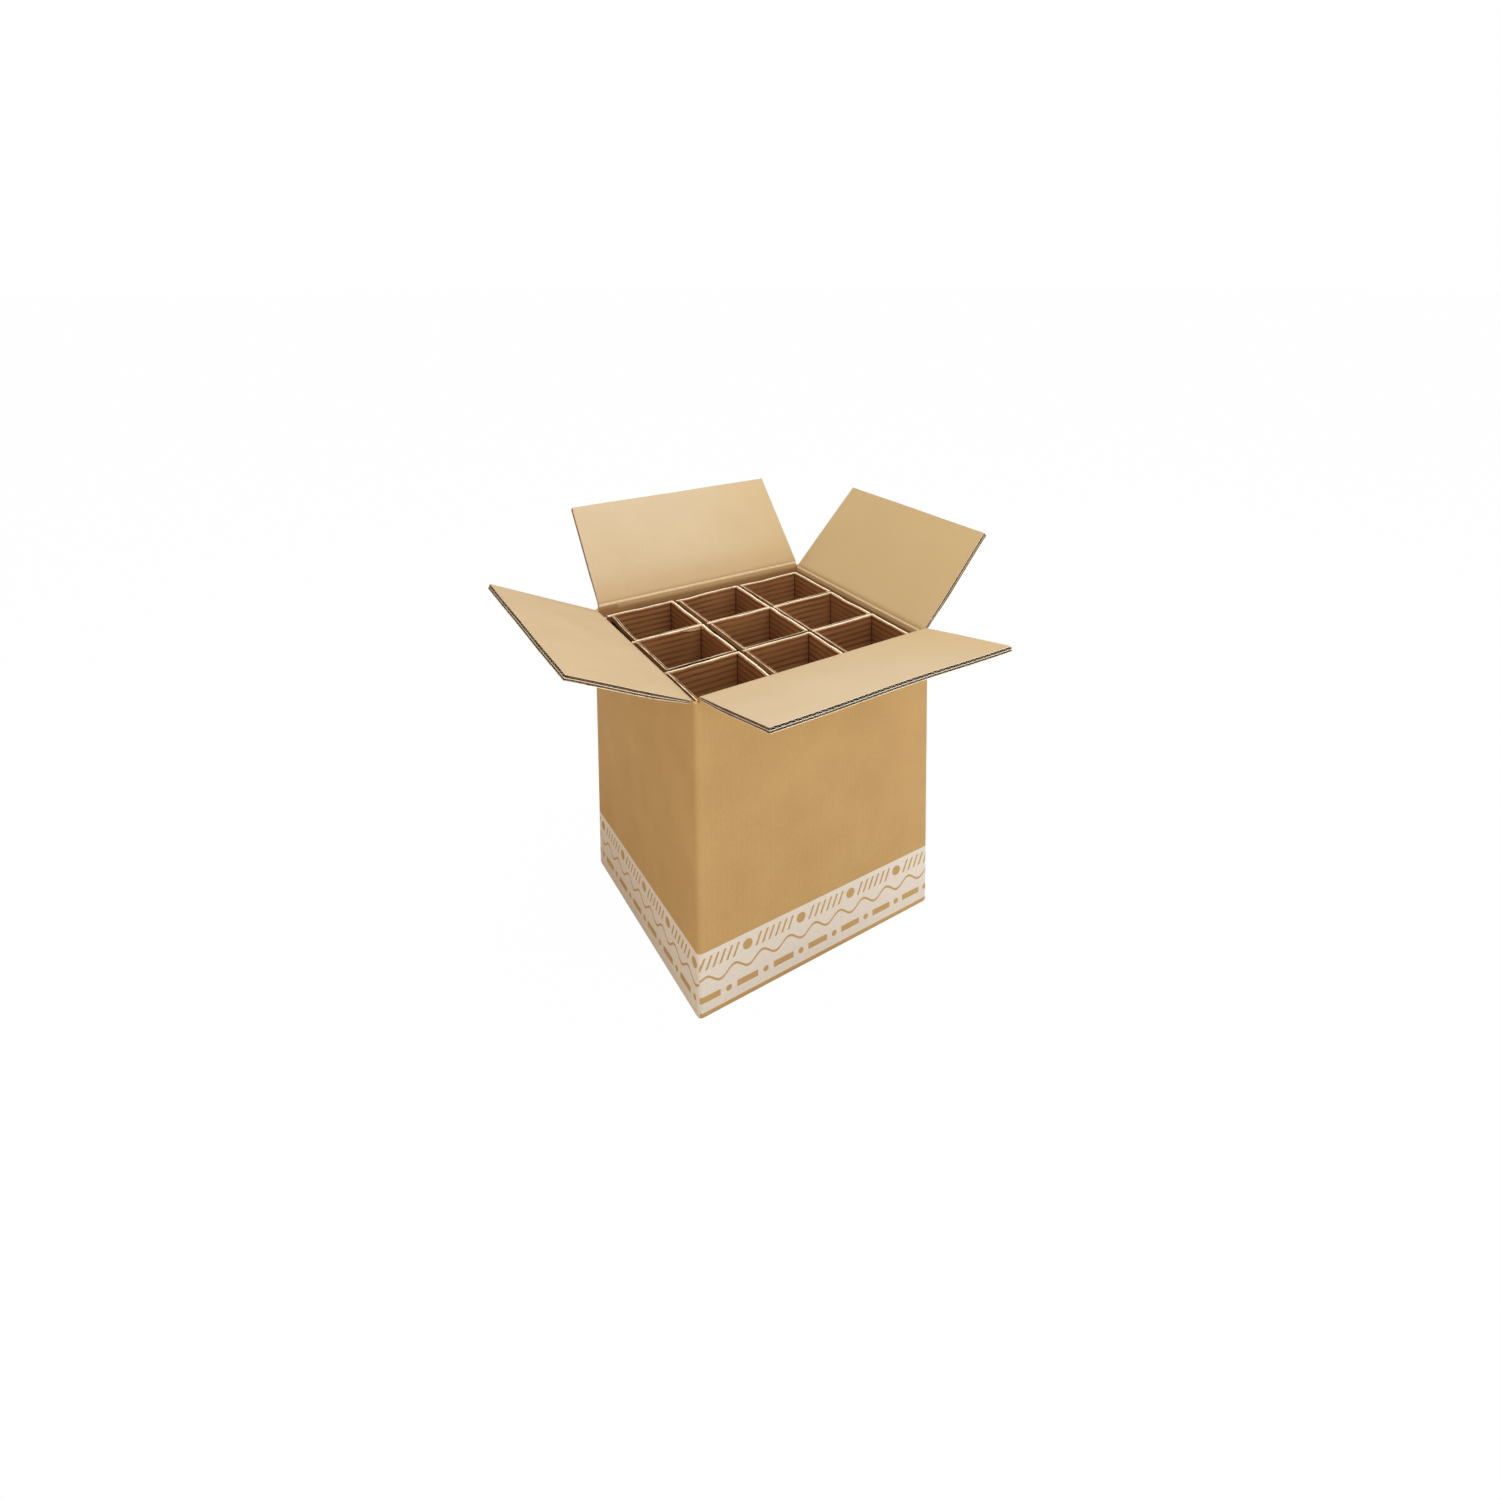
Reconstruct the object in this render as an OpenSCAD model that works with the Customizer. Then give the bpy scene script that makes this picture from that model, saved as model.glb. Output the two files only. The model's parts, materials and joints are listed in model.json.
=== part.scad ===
// Bottle carton: a slotted shipping carton of double-wall corrugated board, standing open,
// with nine loose square sleeves of single-wall board that keep the bottles apart.
// The origin is the middle of the base, +Z is up and the front wall faces -Y.

/* [Carton] */
// Outside length, along the front and back walls
carton_l = 330; // [260:1:420]
// Outside width, along the left and right walls
carton_w = 318; // [260:1:420]
// Height of the fold axis of the left and right top flaps above the ground
fold_h = 362; // [200:1:480]
// Thickness of the double-wall board
board_t = 6.6; // [5:0.1:9]
// Outside radius of the vertical folds
corner_r = 6; // [3:0.5:10]
// Outside radius of the folds along the bottom edges
bottom_r = 4; // [1:0.5:6]
// Width of the glue tab that joins the ends of the sheet inside the back wall
glue_tab_w = 34; // [20:1:60]
// Thickness of the glue tab, which is crushed before it is glued
glue_tab_t = 3.3; // [2:0.1:5]
// Angle at which the ends of the glue tab are cut back
glue_tab_cut = 20; // [0:1:40]

/* [Top flaps] */
// Distance from each end of the carton to the side edges of the front and back flaps
outer_flap_inset = 6; // [4:0.5:12]
// Gap between the side edges of a closed left or right flap and the walls beside it
flap_side_gap = 0.6; // [0.4:0.1:3]
// Gap between the closed inner flaps and the outer flaps that lie on them
flap_stack_gap = 0.3; // [0.3:0.1:2]
// Gap where the cut edges of two closed flaps meet
flap_meet_gap = 1; // [0.6:0.1:4]
// Angle through which a flap can fold outward from upright
fold_out = 120; // [95:1:130]
// Opening of the front flap, outward from upright
front_open = 78; // [0:0.5:90]
// Opening of the back flap, outward from upright
back_open = 43.5; // [0:0.5:90]
// Opening of the left flap, outward from upright
left_open = 64.5; // [0:0.5:90]
// Opening of the right flap, outward from upright
right_open = 44; // [0:0.5:90]
// Half of the slit along a crease, where the crushed board bends
crease_gap = 0.35; // [0.3:0.05:0.45]

/* [Corrugation] */
// Pitch of the larger flutes, on the inner side of the board
large_flute_pitch = 7.6; // [6:0.1:9]
// Pitch of the smaller flutes, on the outer side of the board
small_flute_pitch = 6.3; // [5:0.1:8]
// Thickness of each of the three liners
liner_t = 0.5; // [0.3:0.05:0.8]
// Thickness of the fluted paper, measured along the board
medium_t = 0.6; // [0.4:0.05:0.9]
// Length of board past the crease that is crushed flat, with its flutes closed
crush_l = 2; // [1:0.5:5]

/* [Sleeves] */
// Thickness of the single-wall board of the sleeves
sleeve_t = 4; // [2:0.1:6]
// Outside radius of the folds of a sleeve
sleeve_r = 2.5; // [1:0.1:5]
// Gap between the columns of sleeves, and between them and the side walls
column_gap = 4.6; // [0.5:0.1:8]
// Gap between the rows of sleeves, and between them and the walls
row_gap = 0.8; // [0.5:0.1:8]
// Gap left at the open corner of a sleeve, where the ends of its strip meet
seam_gap = 2; // [0.6:0.1:5]
// Room between the rims of the sleeves and the closed flaps
headroom = 0.8; // [0.4:0.1:10]

/* [Hidden] */
// Angle through which a flap folds inward from upright to close
fold_in = 90;
// Share of the space between the liners that the larger flutes take up
large_flute_share = 0.58;
// Length by which cutting tools overrun the faces that they cut
overrun = 10;
// Sides of a full round
$fn = 64;

half_l = carton_l / 2;
half_w = carton_w / 2;
half_t = board_t / 2;
inner_l = carton_l - 2 * board_t;
inner_w = carton_w - 2 * board_t;
// The bottom is two boards thick: the front and back bottom flaps lie under the other two
floor_h = 2 * board_t;
// The front and back flaps close on top of the left and right ones, so they fold one board higher
outer_fold_h = fold_h + board_t + flap_stack_gap;
cut_top = outer_fold_h + overrun;

// Lengths over which the crease tapers the board on its inner and outer side
taper_in = half_t * tan(fold_in / 2);
taper_out = half_t * tan(fold_out / 2);
// Height of the bottom of the corner slots, level with the lower end of the crease
slot_z = fold_h - crease_gap - taper_out;
slot_w = board_t + flap_side_gap;

outer_flap_l = half_w - half_t - flap_meet_gap / 2;
inner_flap_l = min(half_l, half_w) - half_t - flap_meet_gap / 2;
outer_flap_w = carton_l - 2 * outer_flap_inset;
inner_flap_w = inner_w - 2 * flap_side_gap;
// Bottom flaps are as long as the top flaps, so the inner two stop short of each other
floor_slot_w = carton_l - 2 * (inner_flap_l + half_t);

flute_space = board_t - 3 * liner_t;
large_flute_h = flute_space * large_flute_share;
small_flute_h = flute_space - large_flute_h;

columns = 3;
rows = 3;
sleeve_l = (inner_l - (columns + 1) * column_gap) / columns;
sleeve_w = (inner_w - glue_tab_t - (rows + 1) * row_gap) / rows;
sleeve_top = fold_h - half_t - headroom;
sleeve_h = sleeve_top - floor_h;

outer_kraft = [0.76, 0.60, 0.37];
inner_kraft = [0.85, 0.72, 0.53];
sleeve_kraft = [0.62, 0.43, 0.28];

SLEEVES = [
    ["sleeve_front_left", "sleeve_front_middle", "sleeve_front_right"],
    ["sleeve_middle_left", "sleeve_centre", "sleeve_middle_right"],
    ["sleeve_back_left", "sleeve_back_middle", "sleeve_back_right"],
];

// A rectangle with round corners
module rounded_rectangle(length, width, radius) {
    square([length - 2 * radius, width], center = true);
    square([length, width - 2 * radius], center = true);
    for (x = [-1, 1], y = [-1, 1])
        translate([x * (length / 2 - radius), y * (width / 2 - radius)])
            circle(radius);
}

// What a bottom fold leaves outside its arc, at the corner where a wall meets the ground
module bottom_fold_waste() {
    difference() {
        translate([-bottom_r, 0])
            square([bottom_r + overrun, bottom_r + overrun]);
        translate([-bottom_r, bottom_r + overrun])
            circle(bottom_r);
    }
}

// Section across two opposite walls: bottom folds below, crease tapers on top.
// Between the walls it is open upward, so it only shapes the walls that it crosses.
module wall_section(half, fold_z) {
    ridge_z = fold_z - crease_gap;
    side = [
        [half, 0],
        [half, ridge_z - taper_out],
        [half - half_t, ridge_z],
        [half - board_t, ridge_z - taper_in],
        [half - board_t, cut_top],
    ];
    other_side = [for (i = [len(side) - 1:-1:0]) [-side[i].x, side[i].y]];
    difference() {
        polygon(concat(side, other_side));
        for (turn = [0, 1])
            mirror([turn, 0])
                translate([half, -overrun])
                    bottom_fold_waste();
    }
}

// The tab at the end of the sheet, glued to the inside of the back wall
module glue_tab() {
    cut_back = glue_tab_w * tan(glue_tab_cut);
    tab_top = slot_z - floor_h;
    translate([-inner_l / 2, inner_w / 2, floor_h])
        rotate([90, 0, 0])
            linear_extrude(glue_tab_t)
                polygon([[0, 0], [glue_tab_w, cut_back], [glue_tab_w, tab_top - cut_back], [0, tab_top]]);
}

// Walls, glue tab and folded bottom, all one sheet
module carton_body() {
    color(outer_kraft) {
        difference() {
            intersection() {
                linear_extrude(cut_top)
                    rounded_rectangle(carton_l, carton_w, corner_r);
                rotate([90, 0, 90])
                    linear_extrude(carton_l + overrun, center = true)
                        wall_section(half_w, outer_fold_h);
                rotate([90, 0, 0])
                    linear_extrude(carton_w + overrun, center = true)
                        wall_section(half_l, fold_h);
            }
            // Inside of the carton
            translate([-inner_l / 2, -inner_w / 2, floor_h])
                cube([inner_l, inner_w, cut_top]);
            // Space between the cut edges of the inner bottom flaps
            translate([-floor_slot_w / 2, -inner_w / 2, board_t])
                cube([floor_slot_w, inner_w, floor_h]);
            // Seam where the outer bottom flaps meet
            translate([-outer_flap_w / 2, -flap_meet_gap / 2, -overrun])
                cube([outer_flap_w, flap_meet_gap, overrun + board_t]);
            // Slots that part the top flaps at the corners
            for (x = [-1, 1], y = [-1, 1])
                translate([x * half_l, y * half_w, slot_z + overrun])
                    cube([2 * slot_w, 2 * slot_w, 2 * overrun], center = true);
        }
        glue_tab();
    }
}

// One row of flute ends, seen on the cut edge, as the triangles that the wavy paper leaves open
module flute_row(width, pitch, height) {
    count = floor((width - 2 * medium_t) / pitch);
    half_base = pitch / 2 - medium_t;
    first = -(count - 1) / 2 * pitch;
    for (i = [0:count - 1])
        translate([first + i * pitch, 0])
            polygon([[-half_base, 0], [half_base, 0], [0, height]]);
    for (i = [0:count - 2])
        translate([first + (i + 1 / 2) * pitch, 0])
            polygon([[-half_base, height], [half_base, height], [0, 0]]);
}

// Section along the cut edge: three liners and two rows of flutes, larger ones on the inner side
module fluted_section(width) {
    difference() {
        square([width, board_t], center = true);
        translate([0, half_t - liner_t - large_flute_h])
            flute_row(width, large_flute_pitch, large_flute_h);
        translate([0, liner_t - half_t])
            flute_row(width, small_flute_pitch, small_flute_h);
    }
}

// A flap standing upright on its fold axis, which is the X axis, with its inner side towards +Y
module flap(width, length) {
    flute_start = crease_gap + taper_out + crush_l;
    root = [
        [0, crease_gap],
        [half_t, crease_gap + taper_in],
        [half_t, flute_start],
        [-half_t, flute_start],
        [-half_t, crease_gap + taper_out],
    ];
    color(inner_kraft) {
        rotate([90, 0, 90])
            linear_extrude(width, center = true)
                polygon(root);
        translate([0, 0, flute_start])
            linear_extrude(length - flute_start)
                fluted_section(width);
    }
}

// Hangs a flap on the wall that lies half_depth from the middle, and turns it outward
module hung_flap(turn, half_depth, fold_z, opening) {
    rotate([0, 0, turn])
        translate([0, half_t - half_depth, fold_z])
            rotate([opening, 0, 0])
                children();
}

module front_flap() {
    hung_flap(0, half_w, outer_fold_h, front_open)
        flap(outer_flap_w, outer_flap_l);
}

module back_flap() {
    hung_flap(180, half_w, outer_fold_h, back_open)
        flap(outer_flap_w, outer_flap_l);
}

module left_flap() {
    hung_flap(-90, half_l, fold_h, left_open)
        flap(inner_flap_w, inner_flap_l);
}

module right_flap() {
    hung_flap(90, half_l, fold_h, right_open)
        flap(inner_flap_w, inner_flap_l);
}

// A strip of board folded into a square tube, with its ends apart at the back-left corner
module sleeve(row, column) {
    x = (sleeve_l + column_gap) * (column - (columns - 1) / 2);
    y = row_gap + (sleeve_w + row_gap) * row + (sleeve_w - inner_w) / 2;
    seam_y = sleeve_w / 2 - sleeve_t - seam_gap;
    color(sleeve_kraft)
        translate([x, y, floor_h])
            linear_extrude(sleeve_h)
                difference() {
                    rounded_rectangle(sleeve_l, sleeve_w, sleeve_r);
                    square([sleeve_l - 2 * sleeve_t, sleeve_w - 2 * sleeve_t], center = true);
                    translate([-sleeve_l / 2 - overrun, seam_y])
                        square([sleeve_t + 2 * overrun, seam_gap]);
                }
}

carton_body();
front_flap();
back_flap();
left_flap();
right_flap();
for (row = [0:rows - 1], column = [0:columns - 1])
    sleeve(row, column);
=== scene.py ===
"""Bottle carton of corrugated board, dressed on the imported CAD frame. Lengths are in metres."""

import json
import math
import random

import bmesh
import bpy
from mathutils import Matrix, Vector


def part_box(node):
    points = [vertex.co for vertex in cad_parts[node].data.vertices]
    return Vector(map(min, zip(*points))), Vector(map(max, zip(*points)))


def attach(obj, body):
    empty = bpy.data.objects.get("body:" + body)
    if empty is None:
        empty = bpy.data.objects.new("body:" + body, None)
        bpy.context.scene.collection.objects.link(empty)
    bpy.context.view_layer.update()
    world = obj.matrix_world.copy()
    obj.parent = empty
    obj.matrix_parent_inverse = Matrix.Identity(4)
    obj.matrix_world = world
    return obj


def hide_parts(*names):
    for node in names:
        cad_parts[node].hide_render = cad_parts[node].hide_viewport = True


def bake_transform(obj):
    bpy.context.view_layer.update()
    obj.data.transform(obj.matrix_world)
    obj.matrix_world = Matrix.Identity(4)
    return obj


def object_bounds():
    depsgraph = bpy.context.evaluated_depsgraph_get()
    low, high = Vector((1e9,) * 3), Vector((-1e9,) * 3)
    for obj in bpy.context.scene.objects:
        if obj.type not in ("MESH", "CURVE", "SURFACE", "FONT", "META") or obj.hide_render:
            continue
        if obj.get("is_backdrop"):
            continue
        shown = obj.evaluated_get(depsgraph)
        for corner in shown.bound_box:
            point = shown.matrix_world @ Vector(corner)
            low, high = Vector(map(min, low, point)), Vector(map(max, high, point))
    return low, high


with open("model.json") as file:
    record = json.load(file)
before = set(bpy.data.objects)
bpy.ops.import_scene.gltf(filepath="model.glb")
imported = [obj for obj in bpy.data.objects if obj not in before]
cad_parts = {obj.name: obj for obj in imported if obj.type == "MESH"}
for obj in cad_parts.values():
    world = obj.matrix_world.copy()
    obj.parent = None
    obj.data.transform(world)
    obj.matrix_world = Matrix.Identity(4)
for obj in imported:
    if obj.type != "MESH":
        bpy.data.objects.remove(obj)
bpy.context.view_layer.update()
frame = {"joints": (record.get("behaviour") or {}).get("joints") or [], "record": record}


# Walls and bottom of the carton
# One sheet of double-wall kraft board, creased, slotted and folded into a square tube. The four
# bottom flaps are folded in and glued: the front and back ones outside, the other two on them.
# A band of pale ink runs round the foot of the walls, with its shapes left open to the bare kraft.

wall_low, wall_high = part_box("carton_body")
carton_l = wall_high.x - wall_low.x
carton_w = wall_high.y - wall_low.y
board_t = 0.0066
floor_h = 2 * board_t
corner_r = 0.006
bottom_r = 0.004
# Length of board, from the fold axis down or out, in which the crease thins it
crease_l = 0.00607
folds = {joint["child"]: joint for joint in frame["joints"]}
wall_top = folds["left_flap"]["pos_m"][2] - crease_l


def start_piece(name):
    """Names the primitive that was just added and puts its place into its mesh."""
    piece = bpy.context.object
    piece.name = piece.data.name = name
    bpy.ops.object.transform_apply(location=True, rotation=True, scale=True)
    return piece


def select_only(piece):
    bpy.ops.object.select_all(action="DESELECT")
    piece.select_set(True)
    bpy.context.view_layer.objects.active = piece


def open_piece(piece):
    """Opens one piece alone in edit mode, with nothing of it selected."""
    select_only(piece)
    bpy.ops.object.mode_set(mode="EDIT")
    bpy.ops.mesh.select_all(action="DESELECT")


def close_piece():
    bpy.ops.object.mode_set(mode="OBJECT")


def pick(kind, test):
    """Selects the vertices, edges or faces of the open piece that pass the test."""
    bpy.ops.mesh.select_all(action="DESELECT")
    bpy.ops.mesh.select_mode(type=kind)
    data = bpy.context.object.data
    mesh = bmesh.from_edit_mesh(data)
    for element in {"VERT": mesh.verts, "EDGE": mesh.edges, "FACE": mesh.faces}[kind]:
        element.select_set(test(element))
    mesh.select_flush_mode()
    bmesh.update_edit_mesh(data)


def pull(x, y, z):
    """Extrudes what is selected by that step."""
    bpy.ops.mesh.extrude_region_move(TRANSFORM_OT_translate={"value": (x, y, z)})


def near(a, b):
    return abs(a - b) < 1e-5


bpy.ops.object.select_all(action="DESELECT")
bpy.ops.mesh.primitive_cube_add(
    size=1, location=(0, 0, wall_top / 2), scale=(carton_l, carton_w, wall_top)
)
walls = start_piece("carton_walls")
open_piece(walls)
pick("FACE", lambda f: f.normal.z > 0.9)
bpy.ops.mesh.inset(thickness=board_t)
pull(0, 0, floor_h - wall_top)

# The inner bottom flaps stop short of each other, which leaves a slot across the floor
floor_slot_w = 0.013
pick("FACE", lambda f: f.normal.z > 0.9 and f.calc_center_median().z < wall_top / 2)
for side in (-1, 1):
    bpy.ops.mesh.bisect(plane_co=(side * floor_slot_w / 2, 0, 0), plane_no=(1, 0, 0))
    pick("FACE", lambda f: f.normal.z > 0.9 and near(f.calc_center_median().z, floor_h))
pick(
    "FACE",
    lambda f: f.normal.z > 0.9
    and near(f.calc_center_median().z, floor_h)
    and abs(f.calc_center_median().x) < floor_slot_w / 2,
)
pull(0, 0, -board_t)

# Rounded folds
pick(
    "EDGE",
    lambda e: abs(e.verts[0].co.z - e.verts[1].co.z) > wall_top / 2
    and all(near(abs(v.co.x), carton_l / 2) for v in e.verts),
)
bpy.ops.mesh.bevel(offset=corner_r, segments=6, affect="EDGES")
pick("EDGE", lambda e: all(near(v.co.z, 0) for v in e.verts))
bpy.ops.mesh.bevel(offset=bottom_r, segments=4, affect="EDGES")

# At the corners the walls reach up between the ends of the top creases
post_h, post_lap = 0.0095, 0.0001
post_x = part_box("front_flap")[1].x - post_lap
post_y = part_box("left_flap")[1].y - post_lap
for x, y in ((1, 0), (-1, 0), (0, 1), (0, -1)):
    pick("FACE", lambda f: f.normal.z > 0.9 and near(f.calc_center_median().z, wall_top))
    bpy.ops.mesh.bisect(plane_co=(x * post_x, y * post_y, 0), plane_no=(x, y, 0))
pick(
    "FACE",
    lambda f: near(f.calc_center_median().z, wall_top)
    and abs(f.calc_center_median().x) > post_x
    and abs(f.calc_center_median().y) > post_y,
)
pull(0, 0, post_h)

# The outer bottom flaps meet in a narrow seam
seam_w = 0.001
for side in (-1, 1):
    pick("FACE", lambda f: f.normal.z < -0.9)
    bpy.ops.mesh.bisect(plane_co=(0, side * seam_w / 2, 0), plane_no=(0, 1, 0))
pick("FACE", lambda f: f.normal.z < -0.9 and abs(f.calc_center_median().y) < seam_w / 2)
pull(0, 0, board_t)
close_piece()


class Ink:
    """A value or colour in a material. Sums on it add Math nodes, and node() adds any other node."""

    def __init__(self, tree, socket=None):
        self.tree = tree
        self.socket = socket

    def node(self, kind, settings=None, inputs=None, output=0):
        made = self.tree.nodes.new("ShaderNode" + kind)
        for name, value in (settings or {}).items():
            setattr(made, name, value)
        for name, value in (inputs or {}).items():
            if isinstance(value, Ink):
                self.tree.links.new(value.socket, made.inputs[name])
            else:
                made.inputs[name].default_value = value
        return Ink(self.tree, made.outputs[output])

    def sum(self, operation, *values):
        return self.node("Math", {"operation": operation}, dict(enumerate(values)))

    def __add__(self, other):
        return self.sum("ADD", self, other)

    __radd__ = __add__

    def __sub__(self, other):
        return self.sum("SUBTRACT", self, other)

    def __rsub__(self, other):
        return self.sum("SUBTRACT", other, self)

    def __mul__(self, other):
        return self.sum("MULTIPLY", self, other)

    __rmul__ = __mul__

    def __mod__(self, other):
        return self.sum("FLOORED_MODULO", self, other)

    def __lt__(self, other):
        return self.sum("LESS_THAN", self, other)

    def __gt__(self, other):
        return self.sum("GREATER_THAN", self, other)

    def __and__(self, other):
        return self.sum("MINIMUM", self, other)

    def __or__(self, other):
        return self.sum("MAXIMUM", self, other)

    def __abs__(self):
        return self.sum("ABSOLUTE", self)

    def ripple(self, pitch):
        """A soft wave from 0 to 1 along this length."""
        return self.sum("SINE", self * (math.tau / pitch)) * 0.5 + 0.5

    def rise(self, low, high):
        """Goes softly from 0 at low to 1 at high."""
        return self.node(
            "MapRange",
            {"interpolation_type": "SMOOTHSTEP"},
            {"Value": self, "From Min": low, "From Max": high},
        )

    def choose(self, low, high):
        """A value or length that is low where this one is 0 and high where it is 1."""
        return low + self * (high - low)

    def mix(self, low, high):
        """The colour between low and high."""
        return self.node("Mix", {"data_type": "RGBA"}, {0: self, 6: low, 7: high}, output=2)

    def parts(self):
        """The x, y and z of a place."""
        return [self.node("SeparateXYZ", None, {0: self}, output=i) for i in range(3)]

    def noise(self, scale, detail=2.0):
        return self.node("TexNoise", None, {"Vector": self, "Scale": scale, "Detail": detail})


def new_material(name):
    """An empty material, its shader and the place on the piece that its patterns read."""
    material = bpy.data.materials.new(name)
    material.use_nodes = True
    tree = material.node_tree
    place = Ink(tree).node("TexCoord", output="Object")
    return material, tree, tree.nodes["Principled BSDF"], place


# Clouds, fibres and specks of the paper: how many to a metre, and how much each shows
cloud_scale, fibre_scale, speck_scale = 16, 520, 900
cloud_share, fibre_share, flute_share, speck_share = 0.56, 0.40, 0.04, 0.3
fibre_h = 0.0002
paper_sheen = 0.12


def across_flutes(place):
    """Distance along the panel, across its upright flutes, and 1 on the left and right panels."""
    x, y, z = place.parts()
    on_side = (abs(x) - carton_l / 2) > (abs(y) - carton_w / 2)
    return on_side.choose(x + carton_l / 2, y * -1 - carton_w / 2), on_side, z


def paper(tree, shader, place, flutes, dark, light, fleck, roughness=0.62):
    """Kraft paper: cloudy shade, short fibres, dark flecks and a trace of the flutes below."""
    cloud = place.noise(cloud_scale, 4)
    fibre = place.noise(fibre_scale, 3)
    shade = cloud * cloud_share + fibre * fibre_share + flutes * flute_share
    specks = place.noise(speck_scale, 1).rise(0.66, 0.74) * speck_share
    colour = specks.mix(shade.rise(0.2, 0.8).mix(dark, light), fleck)
    rough = fibre * 0.2 + roughness
    height = fibre * 0.7 + flutes * 0.15
    tree.links.new(rough.socket, shader.inputs["Roughness"])
    bump = place.node("Bump", None, {"Strength": 0.2, "Distance": fibre_h, "Height": height})
    tree.links.new(bump.socket, shader.inputs["Normal"])
    shader.inputs["Specular IOR Level"].default_value = paper_sheen
    return colour


# Outer liner, with the printed band
kraft_dark = (0.525, 0.330, 0.136, 1)
kraft_light = (0.607, 0.400, 0.174, 1)
kraft_fleck = (0.33, 0.18, 0.070, 1)
outer_flute_pitch = 0.0063
outer_kraft, tree, shader, place = new_material("outer_kraft")
along, on_side, height = across_flutes(place)
flutes = along.ripple(outer_flute_pitch)
bare = paper(tree, shader, place, flutes, kraft_dark, kraft_light, kraft_fleck)

band_low, band_low_side, band_high = 0.0075, 0.0030, 0.0780
ink_pale = (0.83, 0.790, 0.735, 1)
ink_thin = (0.76, 0.695, 0.615, 1)
ink_cover, ink_grain_scale = 0.96, 700
# Slanted strokes in groups, with a dot after each group
stroke_pitch, stroke_w, stroke_h, stroke_lean = 0.0086, 0.0030, 0.0150, 0.45
group_pitch, group_l, dot_r, stroke_row = 0.0720, 0.0516, 0.0062, 0.0640
above = height - stroke_row
in_group = along % group_pitch
leaning = (in_group - above * stroke_lean) % stroke_pitch - stroke_pitch / 2
strokes = (abs(leaning) < stroke_w / 2) & (abs(above) < stroke_h / 2) & (in_group < group_l)
from_dot = in_group - (group_l + group_pitch) / 2
dots = (from_dot * from_dot + above * above) < dot_r * dot_r
# A wavy line
wave_pitch, wave_h, wave_w, wave_row = 0.0360, 0.0050, 0.0030, 0.0435
from_wave = height - wave_row - (along.ripple(wave_pitch) - 0.5) * (2 * wave_h)
wave = abs(from_wave) < wave_w / 2
# Short bars with a small dot between them
bar_pitch, bar_l, bar_h, bar_row, bead_r = 0.0480, 0.0270, 0.0075, 0.0225, 0.0036
up_bar = height - bar_row
in_bar = along % bar_pitch
bars = (in_bar < bar_l) & (abs(up_bar) < bar_h / 2)
from_bead = in_bar - (bar_l + bar_pitch) / 2
beads = (from_bead * from_bead + up_bar * up_bar) < bead_r * bead_r
open_shapes = strokes | dots | wave | bars | beads
in_band = (height > on_side.choose(band_low, band_low_side)) & (height < band_high)
printed = in_band & (1 - open_shapes)
worn = place.noise(ink_grain_scale, 2).rise(0.35, 0.75)
colour = (printed * ink_cover).mix(bare, worn.mix(ink_pale, ink_thin))
tree.links.new(colour.socket, shader.inputs["Base Color"])

# Inner liner, paler than the outer one
liner_dark = (0.520, 0.390, 0.236, 1)
liner_light = (0.588, 0.456, 0.294, 1)
liner_aged = (0.535, 0.385, 0.190, 1)
liner_worn = (0.460, 0.295, 0.145, 1)
liner_clean = (0.610, 0.500, 0.360, 1)
liner_fleck = (0.45, 0.28, 0.140, 1)
inner_flute_pitch = 0.0076
inner_liner, tree, shader, place = new_material("inner_liner")
along, on_side, height = across_flutes(place)
flutes = along.ripple(inner_flute_pitch)
colour = paper(tree, shader, place, flutes, liner_dark, liner_light, liner_fleck)
# The sheet is cleaner out on the front and back flaps, has yellowed a little towards the right, and is
# worn in a strip above the back and right creases
clean_from, clean_to, clean_share = 0.14, 0.29, 0.45
aged_from, aged_to, aged_share = -0.02, 0.24, 0.75
back_worn_from, right_worn_from, worn_to, worn_share = 0.12, 0.14, 0.16, 0.6
back_worn_h, right_worn_h = 0.045, 0.012
x, y, z = place.parts()
back_crease = folds["back_flap"]["pos_m"][2]
right_crease = folds["right_flap"]["pos_m"][2]
colour = (abs(y).rise(clean_from, clean_to) * clean_share).mix(colour, liner_clean)
colour = (x.rise(aged_from, aged_to) * aged_share).mix(colour, liner_aged)
worn_back = y.rise(back_worn_from, worn_to) * (1 - z.rise(back_crease, back_crease + back_worn_h))
worn_right = x.rise(right_worn_from, worn_to) * (1 - z.rise(right_crease, right_crease + right_worn_h))
colour = ((worn_back | worn_right) * worn_share).mix(colour, liner_worn)
tree.links.new(colour.socket, shader.inputs["Base Color"])

# The same liner inside the walls, painted browner below the crease as painted shade inside the carton,
# easing back to the liner's worn colour just below the crease, and painted shade right up to the crease
# where the glue tab starts
inside_shade_dark = (0.30, 0.160, 0.068, 1)
inside_shade_light = (0.38, 0.215, 0.098, 1)
# Depths below the crease at which the painted shade starts to fade, and where it is gone
shade_fade_low, shade_fade_high = 0.0080, 0.0040
glued_l = 0.026
wall_inside, tree, shader, place = new_material("wall_inside")
along, on_side, height = across_flutes(place)
flutes = along.ripple(inner_flute_pitch)
colour = paper(tree, shader, place, flutes, inside_shade_dark, inside_shade_light, kraft_fleck)
crease_z = on_side.choose(folds["front_flap"]["pos_m"][2], folds["left_flap"]["pos_m"][2])
x, y, z = place.parts()
glued = (x < wall_low.x + board_t + glued_l) & (y > 0)
unshaded = (height - crease_z).rise(-shade_fade_low, -shade_fade_high) * (1 - glued)
colour = unshaded.mix(colour, liner_worn)
tree.links.new(colour.socket, shader.inputs["Base Color"])

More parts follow.
